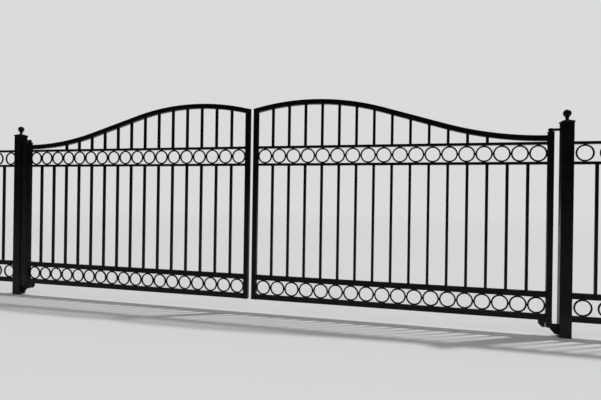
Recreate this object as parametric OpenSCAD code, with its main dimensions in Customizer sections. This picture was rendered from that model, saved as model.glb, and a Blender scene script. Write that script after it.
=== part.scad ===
// Driveway gate with two leaves of square tube, square pickets and two bands of rings.
// Each leaf turns between two arms on a square post, one over its hinge stile and one under it.
// The leaves meet without a lock.
// The top rail climbs from the hinge in a reverse curve to a crown near the middle of the gate.
// A fence bay with the same bands continues beyond each post and ends on a post of its own.
// The origin is the middle of the left gate post's foot. X runs along the gate, Y goes in
// through it and Z is up. A leaf swings towards +Y.

/* [Leaf frame] */
// Width and depth of the square tube of stiles and heavy rails
frame_w = 38; // [34:1:50]
// Wall of that tube
frame_wall = 2.5; // [1.5:0.5:4]
// Height of the two thin rails that hold the upper ring band
thin_rail_h = 19; // [14:1:26]
// Wall of the thin rails
thin_rail_wall = 2; // [1:0.5:3]
// Height of the hinge stile above the end of the top rail
stile_rise = 20; // [10:1:90]

/* [Rings] */
// Outer diameter of a ring
ring_od = 114.3; // [95:0.1:135]
// Thickness of the ring's bar, across the ring
ring_bar = 11; // [8:0.5:16]
// Depth of the ring's bar, through the gate
ring_depth = 12; // [8:0.5:20]
// Number of rings in each band of a leaf
rings_per_leaf = 18; // [14:1:20]
// Room left for the weld between a ring or picket and what holds it
weld_gap = 0.35; // [0.2:0.05:0.6]

/* [Pickets] */
// Width of the square picket bar
picket_w = 19; // [12:1:25]
// Number of pickets in a leaf
pickets_per_leaf = 15; // [12:1:18]
// Distance between the middle rail and the upper ring band, which the pickets fill
picket_len = 856; // [600:1:1100]
// Least height at which a short picket still fits under the top rail
shortest_picket = 25; // [15:1:60]

/* [Top rail] */
// Rise of the crown above the hinge end of the top rail
crown_rise = 308; // [240:1:350]
// Distance of the crown from the meeting edge of the leaf
crown_from_edge = 465; // [380:1:560]
// Radius of the crown's upper edge
crown_r = 1900; // [1700:10:2300]
// Radius of the upper edge where the rail levels out at the hinge
sweep_r = 2300; // [2000:10:2600]
// Slot between the top rail and the ring band at the hinge
top_rail_gap = 6; // [2:1:20]

/* [Gaps] */
// Gap between the two closed leaves
centre_gap = 30; // [15:1:50]
// Gap between a post and its leaf
hinge_gap = 40; // [30:1:90]
// Height of the leaves and fence panels above the ground
ground_gap = 105; // [80:1:200]

/* [Posts] */
// Width of a square post
post_w = 76; // [60:1:110]
// Wall of a post
post_wall = 4; // [2:0.5:8]
// Thickness of the plate that closes the foot of a post
foot_plate_h = 8; // [4:1:15]
// Height of the posts above the hinge stiles
post_rise = 64; // [40:1:140]

/* [Post finials] */
// How far the cap plate stands out beyond the post
cap_overhang = 4; // [1:0.5:8]
// Thickness of the cap plate
cap_plate_h = 6; // [3:1:12]
// Height of the sloping top of the cap
cap_slope_h = 9; // [4:1:20]
// Width left flat on the cap, under the neck
cap_top_w = 40; // [34:1:50]
// Diameter of the neck
neck_d = 20; // [12:1:30]
// Height of the neck
neck_h = 22; // [10:1:40]
// Diameter of the collar at each end of the neck
collar_d = 30; // [22:1:34]
// Height of a collar
collar_h = 5; // [3:1:8]
// Diameter of the ball
ball_d = 52; // [40:1:80]

/* [Stile caps] */
// How far a stile cap stands out beyond the stile
stile_cap_overhang = 2; // [0.5:0.5:4]
// Thickness of a stile cap
stile_cap_h = 4; // [2:1:10]

/* [Pivots] */
// Thickness of the arm over a leaf
upper_arm_h = 14; // [10:1:20]
// Thickness of the arm under a leaf
lower_arm_h = 24; // [14:1:30]
// Width of the arms, through the gate
arm_w = 36; // [30:1:50]
// Room between an arm and the leaf
arm_room = 6; // [5:1:12]
// Thickness of the gusset under the lower arm
gusset_t = 12; // [6:1:20]
// Height of the gusset's foot above the ground
gusset_foot_z = 15; // [5:1:30]
// Length of the gusset's foot, out from the post
gusset_foot_len = 20; // [10:1:35]
// Diameter of the pivot pins
pin_d = 16; // [12:0.5:17]
// Room between a pin and its bore, all round
pin_clearance = 0.05; // [0.02:0.01:0.1]
// How far a pin reaches into the stile
pin_reach = 24; // [15:1:40]
// Diameter of the head on the upper pin
pin_head_d = 24; // [20:1:28]
// Height of that head
pin_head_h = 5; // [3:1:8]
// Wall of the bushing's sleeve, in which a pin turns
sleeve_wall = 3; // [2:0.5:4]
// Length of the sleeve
sleeve_len = 30; // [15:1:50]
// Room between the sleeve and its hole, all round
sleeve_room = 0.3; // [0.1:0.1:0.5]
// Room between the bushing's flange and the shoe beside it
flange_room = 1; // [0.5:0.5:2]
// Running gap between the flange and the arm
flange_gap = 1; // [0.5:0.1:1.5]

/* [Corner shoes] */
// How far the shoe at the hinge corner of a leaf reaches under the bottom rail
shoe_reach = 42; // [30:1:90]
// Height of that shoe over the arm
shoe_h = 18; // [10:1:22]
// Height of the shoe beside the arm
shoe_deep_h = 46; // [36:1:60]
// Corner cut off the far end of the shoe
shoe_chamfer = 18; // [5:1:22]
// Wall of the shoe's channel
shoe_wall = 4; // [3:0.5:5]

/* [Fence] */
// Distance between the pickets of a fence bay
fence_pitch = 144; // [130:1:180]
// Number of openings between pickets in a bay
fence_openings = 12; // [6:1:14]

/* [Hidden] */

// Colours of the painted steel and of the worn steel at the pivots
paint = "#16181a";
steel = "#5b5f63";

// Sides of the gate
LEFT = -1;
RIGHT = 1;

// Smoothness of small rounds, and number of chords in each long arc of the top rail
small_fn = 64;
arc_steps = 32;
// Overrun of cutting shapes
cut = 1;

// Widths, measured from the middle of the gate towards a hinge
band_h = ring_od + 2 * weld_gap;
ring_pitch = band_h;
leaf_inner_w = rings_per_leaf * ring_pitch;
edge_u = centre_gap / 2;
inner_u = edge_u + frame_w;
stile_u = inner_u + leaf_inner_w;
leaf_u = stile_u + frame_w;
post_u = leaf_u + hinge_gap;
post_mid_u = post_u + post_w / 2;
axis_u = stile_u + frame_w / 2;
picket_pitch = (leaf_inner_w + picket_w) / (pickets_per_leaf + 1);
fence_w = fence_pitch * fence_openings;
fence_u = post_u + post_w;
end_post_mid_u = fence_u + fence_w + post_w / 2;

// Heights above the ground
bottom_rail_z = ground_gap;
lower_band_z = bottom_rail_z + frame_w;
middle_rail_z = lower_band_z + band_h;
picket_z = middle_rail_z + frame_w;
lower_ring_rail_z = picket_z + picket_len;
upper_band_z = lower_ring_rail_z + thin_rail_h;
upper_ring_rail_z = upper_band_z + band_h;
short_picket_z = upper_ring_rail_z + thin_rail_h;
rail_end_z = short_picket_z + top_rail_gap + frame_w;
stile_top_z = rail_end_z + stile_rise;
post_h = stile_top_z + post_rise;
upper_seat_z = stile_top_z + stile_cap_h;
upper_arm_z = upper_seat_z + arm_room;
lower_seat_z = bottom_rail_z - shoe_wall;
lower_arm_z = bottom_rail_z - shoe_h - arm_room - lower_arm_h;
// A level above everything in a leaf
sky_z = rail_end_z + crown_rise + 2 * frame_w;

// Diameters of a bushing, and of the hole that its sleeve fits
bore_d = pin_d + 2 * pin_clearance;
sleeve_d = pin_d + 2 * sleeve_wall;
sleeve_hole_d = sleeve_d + 2 * sleeve_room;
flange_d = frame_w - 2 * shoe_wall - 2 * flange_room;

// The top rail's upper edge: a crown arc, a straight run and a hollow arc, each tangent to the next
crown_u = edge_u + crown_from_edge;
crown_centre = [crown_u, rail_end_z + crown_rise - crown_r];
sweep_centre = [stile_u, rail_end_z + sweep_r];
curve_run = stile_u - crown_u;
curve_r = crown_r + sweep_r;
slope = atan2(curve_run, curve_r - crown_rise) - acos(curve_r / norm([curve_run, curve_r - crown_rise]));
fall = [sin(slope), cos(slope)];
// Angle where the crown arc starts, a tube's width outside the meeting edge
start_angle = asin((edge_u - frame_w - crown_u) / crown_r);

// Height of the crown arc at a place u, at a depth below the upper edge
function crown_z(u, depth) = crown_centre.y + sqrt(pow(crown_r - depth, 2) - pow(u - crown_u, 2));

// Corners of the mitre between the meeting stile and the top rail
mitre_top = [edge_u, crown_z(edge_u, 0)];
mitre_low = [inner_u, crown_z(inner_u, frame_w)];
mitre_run = mitre_low - mitre_top;
function mitre_at(u) = mitre_top + mitre_run * (u - edge_u) / frame_w;

// Places a shape that is drawn from the middle of the gate towards the right hinge
module on_side(side) {
    translate([post_mid_u, 0, 0])
        mirror([side == LEFT ? 1 : 0, 0, 0])
            children();
}

// Stands a drawing of the gate's elevation up, with its thickness centred on the gate's plane
module upright(thickness) {
    translate([0, thickness / 2, 0])
        rotate([90, 0, 0])
            linear_extrude(thickness)
                children();
}

// Square or flat tube along X, open at both ends
module tube_x(from_u, to_u, base_z, height, wall) {
    difference() {
        translate([from_u, -frame_w / 2, base_z])
            cube([to_u - from_u, frame_w, height]);
        translate([from_u - cut, -frame_w / 2 + wall, base_z + wall])
            cube([to_u - from_u + 2 * cut, frame_w - 2 * wall, height - 2 * wall]);
    }
}

// Upright square bar between the middle rail and the upper ring band
module picket(u) {
    translate([u - picket_w / 2, -picket_w / 2, picket_z + weld_gap])
        cube([picket_w, picket_w, picket_len - 2 * weld_gap]);
}

// One ring of square bar, standing in the gate's plane
module ring(u, z) {
    translate([u, ring_depth / 2, z])
        rotate([90, 0, 0])
            difference() {
                cylinder(d = ring_od, h = ring_depth, $fn = 2 * small_fn);
                translate([0, 0, -cut])
                    cylinder(d = ring_od - 2 * ring_bar, h = ring_depth + 2 * cut, $fn = 2 * small_fn);
            }
}

// Points of the top rail's curve at a depth below its upper edge, from the meeting stile to the hinge
// stile, with one arc after the other and the straight run between them
function rail_curve(depth) = concat(
    [for (i = [0 : arc_steps]) let (angle = start_angle + (slope - start_angle) * i / arc_steps)
        crown_centre + (crown_r - depth) * [sin(angle), cos(angle)]],
    [for (i = [0 : arc_steps]) let (angle = slope * (1 - i / arc_steps))
        sweep_centre - (sweep_r + depth) * [sin(angle), cos(angle)]]
);

// The part of the elevation that the mitre gives to the meeting stile
module stile_side_of_mitre() {
    high = mitre_top - 2 * mitre_run;
    low = mitre_low + 2 * mitre_run;
    polygon([high, low, [high.x - frame_w, low.y], [high.x - frame_w, high.y]]);
}

// Band that follows the top rail, between two depths below its upper edge, and runs on past the stile
module top_band(from_depth, to_depth) {
    upper = rail_curve(from_depth);
    lower = rail_curve(to_depth);
    past_u = stile_u + cut;
    polygon(concat(
        upper,
        [[past_u, rail_end_z - from_depth], [past_u, rail_end_z - to_depth]],
        [for (i = [len(lower) - 1 : -1 : 0]) lower[i]]
    ));
}

module top_rail(side) {
    color(paint) on_side(side) difference() {
        upright(frame_w) difference() {
            top_band(0, frame_w);
            stile_side_of_mitre();
            translate([stile_u, 0])
                square([frame_w, sky_z]);
        }
        upright(frame_w - 2 * frame_wall)
            top_band(frame_wall, frame_w - frame_wall);
    }
}

module meeting_stile(side) {
    color(paint) on_side(side) difference() {
        upright(frame_w)
            polygon([[edge_u, bottom_rail_z], [inner_u, bottom_rail_z], mitre_low, mitre_top]);
        upright(frame_w - 2 * frame_wall)
            polygon([
                [edge_u + frame_wall, bottom_rail_z + frame_wall],
                [inner_u - frame_wall, bottom_rail_z + frame_wall],
                mitre_at(inner_u - frame_wall),
                mitre_at(edge_u + frame_wall),
            ]);
    }
}

// Round bore or pin on a leaf's axis, between two heights
module on_axis(diameter, from_z, to_z) {
    translate([axis_u, 0, from_z])
        cylinder(d = diameter, h = to_z - from_z, $fn = small_fn);
}

// Square tube with a closed foot, through which the lower bushing passes
module hinge_stile(side) {
    inner = frame_w - 2 * frame_wall;
    color(paint) on_side(side) difference() {
        translate([stile_u, -frame_w / 2, bottom_rail_z])
            cube([frame_w, frame_w, stile_top_z - bottom_rail_z]);
        translate([stile_u + frame_wall, -inner / 2, bottom_rail_z + frame_wall])
            cube([inner, inner, stile_top_z - bottom_rail_z]);
        on_axis(sleeve_hole_d, bottom_rail_z - cut, bottom_rail_z + frame_wall + cut);
    }
}

// Square cap with a straight edge and a sloping top that narrows to top_w
module square_cap(w, edge_h, slope_h, top_w) {
    translate([-w / 2, -w / 2, 0])
        cube([w, w, edge_h]);
    hull() {
        translate([-w / 2, -w / 2, edge_h - slope_h / 4])
            cube([w, w, slope_h / 4]);
        translate([-top_w / 2, -top_w / 2, edge_h])
            cube([top_w, top_w, slope_h]);
    }
}

// Plate on a hinge stile, with the hole of the upper bushing
module stile_cap(side) {
    cap_w = frame_w + 2 * stile_cap_overhang;
    color(paint) on_side(side) difference() {
        translate([axis_u - cap_w / 2, -cap_w / 2, stile_top_z])
            cube([cap_w, cap_w, stile_cap_h]);
        on_axis(sleeve_hole_d, stile_top_z - cut, stile_top_z + stile_cap_h + cut);
    }
}

module heavy_rail(side, base_z) {
    color(paint) on_side(side)
        tube_x(inner_u, stile_u, base_z, frame_w, frame_wall);
}

module thin_rail(side, base_z) {
    color(paint) on_side(side)
        tube_x(inner_u, stile_u, base_z, thin_rail_h, thin_rail_wall);
}

module ring_band(side, base_z) {
    color(paint) on_side(side)
        for (i = [0 : rings_per_leaf - 1])
            ring(inner_u + (i + 0.5) * ring_pitch, base_z + band_h / 2);
}

// Middle of a leaf's picket, counted from the meeting stile
function picket_u(i) = inner_u - picket_w / 2 + (i + 1) * picket_pitch;

module pickets(side) {
    color(paint) on_side(side)
        for (i = [0 : pickets_per_leaf - 1])
            picket(picket_u(i));
}

// Lowest height of the top rail's underside over a picket
function underside(u) = let (
        crown_end = crown_centre + (crown_r - frame_w) * fall,
        sweep_start = sweep_centre - (sweep_r + frame_w) * fall,
        far_u = u + picket_w / 2
    )
    far_u < crown_u ? crown_z(u - picket_w / 2, frame_w)
    : far_u < crown_end.x ? crown_z(far_u, frame_w)
    : far_u < sweep_start.x ? crown_end.y - (far_u - crown_end.x) * tan(slope)
    : sweep_centre.y - sqrt(pow(sweep_r + frame_w, 2) - pow(far_u - stile_u, 2));

module short_pickets(side) {
    roof = rail_curve(frame_w + weld_gap);
    low_z = short_picket_z + weld_gap;
    color(paint) on_side(side) upright(picket_w) intersection() {
        for (i = [0 : pickets_per_leaf - 1])
            if (underside(picket_u(i)) - short_picket_z >= shortest_picket)
                translate([picket_u(i) - picket_w / 2, low_z])
                    square([picket_w, sky_z - low_z]);
        polygon(concat(roof, [[stile_u, low_z - cut], [roof[0].x, low_z - cut]]));
    }
}

// Bushing with its flange on the stile's cap and its sleeve down in the stile
module upper_hinge_leaf_half(side) {
    top_z = upper_arm_z - flange_gap;
    color(steel) on_side(side) difference() {
        union() {
            on_axis(flange_d, upper_seat_z, top_z);
            on_axis(sleeve_d, upper_seat_z - sleeve_len, top_z);
        }
        on_axis(bore_d, upper_seat_z - sleeve_len - cut, top_z + cut);
    }
}

// Bushing with its flange under the shoe and its sleeve up in the stile
module lower_hinge_leaf_half(side) {
    base_z = lower_arm_z + lower_arm_h + flange_gap;
    color(steel) on_side(side) difference() {
        union() {
            on_axis(flange_d, base_z, lower_seat_z);
            on_axis(sleeve_d, base_z, lower_seat_z + sleeve_len);
        }
        on_axis(bore_d, base_z - cut, lower_seat_z + sleeve_len + cut);
    }
}

// Flat arm from the post's face to a round end about the leaf's axis
module arm(base_z, height) {
    on_axis(arm_w, base_z, base_z + height);
    translate([axis_u, -arm_w / 2, base_z])
        cube([post_u - axis_u, arm_w, height]);
}

// Arm over the hinge stile, with a headed pin that hangs down into the bushing
module upper_hinge_post_half(side) {
    head_z = upper_arm_z + upper_arm_h;
    color(steel) on_side(side) {
        arm(upper_arm_z, upper_arm_h);
        on_axis(pin_d, upper_seat_z - pin_reach, head_z);
        on_axis(pin_head_d, head_z, head_z + pin_head_h);
    }
}

// Arm under the hinge stile, with a gusset below it and a pin that stands up into the bushing
module lower_hinge_post_half(side) {
    inside_arm_z = lower_arm_z + lower_arm_h / 2;
    color(steel) on_side(side) {
        arm(lower_arm_z, lower_arm_h);
        on_axis(pin_d, lower_arm_z, lower_seat_z + pin_reach);
        upright(gusset_t)
            polygon([
                [post_u, inside_arm_z],
                [post_u, gusset_foot_z],
                [post_u - gusset_foot_len, gusset_foot_z],
                [axis_u, lower_arm_z],
                [axis_u, inside_arm_z],
            ]);
    }
}

// Channel that shields the hinge corner of a leaf, open below and at its two ends, with cheeks
// that hang deeper beside the arm than over it
module corner_shoe(side) {
    from_u = stile_u - shoe_reach;
    step_u = axis_u - arm_w / 2 - arm_room;
    low_z = bottom_rail_z - shoe_deep_h;
    color(steel) on_side(side) difference() {
        upright(frame_w)
            polygon([
                [from_u, bottom_rail_z],
                [leaf_u, bottom_rail_z],
                [leaf_u, bottom_rail_z - shoe_h],
                [step_u, bottom_rail_z - shoe_h],
                [step_u, low_z],
                [from_u + shoe_chamfer, low_z],
                [from_u, low_z + shoe_chamfer],
            ]);
        translate([from_u - cut, -frame_w / 2 + shoe_wall, low_z - cut])
            cube([leaf_u - from_u + 2 * cut, frame_w - 2 * shoe_wall, lower_seat_z - low_z + cut]);
        on_axis(sleeve_hole_d, lower_seat_z - cut, bottom_rail_z + cut);
    }
}

// Square tube post with a closed foot
module post(side, mid_u) {
    inner = post_w - 2 * post_wall;
    color(paint) on_side(side) difference() {
        translate([mid_u - post_w / 2, -post_w / 2, 0])
            cube([post_w, post_w, post_h]);
        translate([mid_u - inner / 2, -inner / 2, foot_plate_h])
            cube([inner, inner, post_h]);
    }
}

// Cap plate with a collared neck and a ball
module finial(side, mid_u) {
    neck_z = cap_plate_h + cap_slope_h;
    ball_z = neck_z + neck_h + ball_d / 2 - collar_h / 2;
    color(paint) on_side(side)
        translate([mid_u, 0, post_h]) {
            square_cap(post_w + 2 * cap_overhang, cap_plate_h, cap_slope_h, cap_top_w);
            translate([0, 0, neck_z - collar_h / 2])
                cylinder(d = neck_d, h = neck_h + collar_h, $fn = small_fn);
            for (z = [neck_z - collar_h / 2, neck_z + neck_h - 1.5 * collar_h])
                translate([0, 0, z])
                    cylinder(d = collar_d, h = 1.5 * collar_h, $fn = small_fn);
            translate([0, 0, ball_z])
                sphere(d = ball_d, $fn = small_fn);
        }
}

// Fence bay: the gate's rails and bands, with one ring between each two pickets
module fence_panel(side) {
    far_u = fence_u + fence_w;
    color(paint) on_side(side) {
        tube_x(fence_u, far_u, bottom_rail_z, frame_w, frame_wall);
        tube_x(fence_u, far_u, middle_rail_z, frame_w, frame_wall);
        tube_x(fence_u, far_u, lower_ring_rail_z, thin_rail_h, thin_rail_wall);
        tube_x(fence_u, far_u, upper_ring_rail_z, thin_rail_h, thin_rail_wall);
        for (i = [1 : fence_openings - 1])
            picket(fence_u + i * fence_pitch);
        for (i = [0 : fence_openings - 1], z = [lower_band_z, upper_band_z])
            ring(fence_u + (i + 0.5) * fence_pitch, z + band_h / 2);
    }
}

post(LEFT, post_mid_u);  // left_post
post(RIGHT, post_mid_u);  // right_post
post(LEFT, end_post_mid_u);  // left_end_post
post(RIGHT, end_post_mid_u);  // right_end_post
finial(LEFT, post_mid_u);  // left_finial
finial(RIGHT, post_mid_u);  // right_finial
finial(LEFT, end_post_mid_u);  // left_end_finial
finial(RIGHT, end_post_mid_u);  // right_end_finial
fence_panel(LEFT);  // left_fence_panel
fence_panel(RIGHT);  // right_fence_panel
upper_hinge_post_half(LEFT);  // left_upper_hinge_post_half
lower_hinge_post_half(LEFT);  // left_lower_hinge_post_half
upper_hinge_post_half(RIGHT);  // right_upper_hinge_post_half
lower_hinge_post_half(RIGHT);  // right_lower_hinge_post_half
hinge_stile(LEFT);  // left_hinge_stile
stile_cap(LEFT);  // left_stile_cap
meeting_stile(LEFT);  // left_meeting_stile
top_rail(LEFT);  // left_top_rail
thin_rail(LEFT, upper_ring_rail_z);  // left_upper_ring_rail
thin_rail(LEFT, lower_ring_rail_z);  // left_lower_ring_rail
heavy_rail(LEFT, middle_rail_z);  // left_middle_rail
heavy_rail(LEFT, bottom_rail_z);  // left_bottom_rail
ring_band(LEFT, upper_band_z);  // left_upper_rings
ring_band(LEFT, lower_band_z);  // left_lower_rings
pickets(LEFT);  // left_pickets
short_pickets(LEFT);  // left_short_pickets
upper_hinge_leaf_half(LEFT);  // left_upper_hinge_leaf_half
lower_hinge_leaf_half(LEFT);  // left_lower_hinge_leaf_half
corner_shoe(LEFT);  // left_corner_shoe
hinge_stile(RIGHT);  // right_hinge_stile
stile_cap(RIGHT);  // right_stile_cap
meeting_stile(RIGHT);  // right_meeting_stile
top_rail(RIGHT);  // right_top_rail
thin_rail(RIGHT, upper_ring_rail_z);  // right_upper_ring_rail
thin_rail(RIGHT, lower_ring_rail_z);  // right_lower_ring_rail
heavy_rail(RIGHT, middle_rail_z);  // right_middle_rail
heavy_rail(RIGHT, bottom_rail_z);  // right_bottom_rail
ring_band(RIGHT, upper_band_z);  // right_upper_rings
ring_band(RIGHT, lower_band_z);  // right_lower_rings
pickets(RIGHT);  // right_pickets
short_pickets(RIGHT);  // right_short_pickets
upper_hinge_leaf_half(RIGHT);  // right_upper_hinge_leaf_half
lower_hinge_leaf_half(RIGHT);  // right_lower_hinge_leaf_half
corner_shoe(RIGHT);  // right_corner_shoe
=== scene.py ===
"""Looks of a two-leaf driveway gate with ring bands, square pickets and a crowned top rail.

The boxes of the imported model's nodes give the places and the main sizes. This script adds rounded
tube corners, welds, paint with wear and dust, and the studio around the gate. Lengths are in metres.
"""

import logging
import math
from dataclasses import dataclass, field
from enum import Enum, IntEnum
from functools import cache

import bmesh
import bpy
import numpy as np
from mathutils import Matrix, Vector


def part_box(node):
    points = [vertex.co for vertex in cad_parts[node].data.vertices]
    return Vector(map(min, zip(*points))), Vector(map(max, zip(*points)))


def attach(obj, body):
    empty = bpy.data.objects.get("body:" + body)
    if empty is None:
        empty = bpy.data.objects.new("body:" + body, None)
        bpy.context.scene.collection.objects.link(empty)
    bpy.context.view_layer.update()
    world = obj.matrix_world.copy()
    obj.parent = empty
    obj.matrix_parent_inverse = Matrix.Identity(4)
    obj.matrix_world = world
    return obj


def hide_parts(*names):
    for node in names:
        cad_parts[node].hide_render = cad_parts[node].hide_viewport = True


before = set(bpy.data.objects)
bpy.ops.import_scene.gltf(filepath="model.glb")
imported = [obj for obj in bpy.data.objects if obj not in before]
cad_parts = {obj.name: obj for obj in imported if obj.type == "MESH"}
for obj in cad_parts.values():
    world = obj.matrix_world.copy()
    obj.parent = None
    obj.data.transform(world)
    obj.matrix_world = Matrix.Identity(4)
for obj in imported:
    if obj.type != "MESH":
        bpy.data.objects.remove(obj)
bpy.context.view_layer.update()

log = logging.getLogger("gate")

Colour = tuple[float, float, float, float]
Socket = bpy.types.NodeSocket

FIXED_BODY = "posts_and_fence"
RING_BANDS = ("upper_rings", "lower_rings")
SHARP_ANGLE = math.radians(40)
GATE_MIDDLE = (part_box("left_post")[0].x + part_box("right_post")[1].x) / 2


class Axis(Enum):
    """Direction in which a piece runs or in which its thickness lies."""

    ALONG = 0
    THROUGH = 1
    UP = 2

    @property
    def across(self) -> list[int]:
        """Numbers of the two other directions."""
        return [i for i in range(3) if i != self.value]


class Seed(IntEnum):
    """First seed of each group of weld beads, whose thickness is uneven.

    An arm's seed is its height in metres times the value given here.
    """

    POST_CAP = 11
    UPPER_RINGS = 1000
    LOWER_RINGS = 2000
    PICKETS = 3000
    SHORT_PICKET_FEET = 4000
    SHORT_PICKET_HEADS = 4100
    RAILS = 5000
    TOP_RAIL = 5100
    MITRE = 5200
    FENCE_RAILS = 6000
    FENCE_PICKETS = 6100
    FENCE_UPPER_RINGS = 7000
    FENCE_LOWER_RINGS = 7500
    ARM_PER_METRE_UP = 9000
    GUSSET_TO_POST = 9100
    GUSSET_TO_ARM = 9110
    BUSHING = 9200


def rounded_rectangle(size_a: float, size_b: float, radius: float, steps: int = 4) -> np.ndarray:
    """Outline of a rectangle with round corners, centred on the origin.

    Args:
        size_a: Whole width along the first direction.
        size_b: Whole width along the second direction.
        radius: Radius of the corners.
        steps: Straight pieces in each corner.

    Returns:
        The outline's points, one row each.
    """
    points = []
    for turn, (sign_a, sign_b) in enumerate(((1, 1), (-1, 1), (-1, -1), (1, -1))):
        centre = (sign_a * (size_a / 2 - radius), sign_b * (size_b / 2 - radius))
        for step in range(steps + 1):
            angle = math.radians(90 * (turn + step / steps))
            points.append((centre[0] + radius * math.cos(angle), centre[1] + radius * math.sin(angle)))
    return np.array(points)


def circle(radius: float, steps: int) -> np.ndarray:
    """Points of a circle round the origin, one row each."""
    angles = np.arange(steps) * 2 * math.pi / steps
    return radius * np.stack([np.cos(angles), np.sin(angles)], axis=1)


def inset(outline: np.ndarray, distance: float) -> np.ndarray:
    """Moves the sides of a convex outline inwards.

    Args:
        outline: The outline's points in turn, one row each.
        distance: How far each side moves.

    Returns:
        As many points as before.
    """
    ahead = np.roll(outline, -1, axis=0) - outline
    ahead /= np.linalg.norm(ahead, axis=1)[:, None]
    behind = np.roll(ahead, 1, axis=0)
    normals = [np.column_stack([-edge[:, 1], edge[:, 0]]) for edge in (behind, ahead)]
    turn = np.sign(np.sum(ahead[:, 1] * behind[:, 0] - ahead[:, 0] * behind[:, 1]))
    corner = normals[0] + normals[1]
    corner /= (1 + np.sum(normals[0] * normals[1], axis=1))[:, None]
    return outline + turn * distance * corner


def section_at(axis: Axis, place: float | np.ndarray, outline: np.ndarray) -> np.ndarray:
    """Lays an outline across an axis.

    Args:
        axis: The axis.
        place: Where the outline lies along it, once or for each point.
        outline: Points in the two other directions, one row each.

    Returns:
        The points in u, y and z.
    """
    points = np.zeros((len(outline), 3))
    points[:, axis.value] = place
    points[:, axis.across] = outline
    return points


@dataclass(frozen=True)
class Box:
    """A box measured from the gate's middle towards a hinge (u), through the gate (y) and up (z)."""

    low: np.ndarray
    high: np.ndarray

    @property
    def middle(self) -> np.ndarray:
        """The box's centre."""
        return (self.low + self.high) / 2

    @property
    def size(self) -> np.ndarray:
        """The box's three lengths."""
        return self.high - self.low

    def between(self, start: float, end: float) -> "Box":
        """The same box with other ends along u."""
        return Box(np.array([start, *self.low[1:]]), np.array([end, *self.high[1:]]))

    def outline(self, axis: Axis, radius: float, steps: int = 4, inward: float = 0.0) -> np.ndarray:
        """Outline of the box across an axis, with round corners.

        Args:
            axis: The axis.
            radius: Radius of the corners.
            steps: Straight pieces in each corner.
            inward: How far inside the box the outline lies.

        Returns:
            The outline's points, one row each.
        """
        size = self.size[axis.across] - 2 * inward
        return self.middle[axis.across] + rounded_rectangle(*size, radius, steps)


class Side(Enum):
    """Half of the gate, as the sign of X seen from the gate's middle."""

    LEFT = -1
    RIGHT = 1

    @property
    def word(self) -> str:
        """The side's name as the model's nodes write it."""
        return self.name.lower()

    @property
    def leaf(self) -> str:
        """The body that the side's leaf turns with."""
        return f"{self.word}_leaf"

    def box(self, part: str) -> Box:
        """Box of the node with this name, given without its side."""
        low, high = (np.array(corner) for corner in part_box(f"{self.word}_{part}"))
        return Box(low, high).between(*sorted(self.value * (x - GATE_MIDDLE) for x in (low[0], high[0])))


class Effect(Enum):
    """Surface effects that finishes share: each one's node group with its inputs and outputs."""

    SKIN = "paint_skin", ("Peel Scale", "Peel Depth", "Wave Scale", "Wave Depth"), ("Height", "Mottle")
    EDGE_WEAR = "edge_wear", ("Radius", "Reach", "Breakup Scale"), ("Mask",)
    DUST = "settled_dust", ("Amount", "Film", "Patch Scale"), ("Mask",)
    SPLASH = "ground_splash", ("Reach", "Amount", "Speck Scale"), ("Mask",)
    STREAKS = "rain_streaks", ("Amount", "Streak Scale"), ("Mask",)
    RUST = "rust_bloom", ("Amount", "Spot Scale"), ("Mask", "Height", "Tone")


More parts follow.
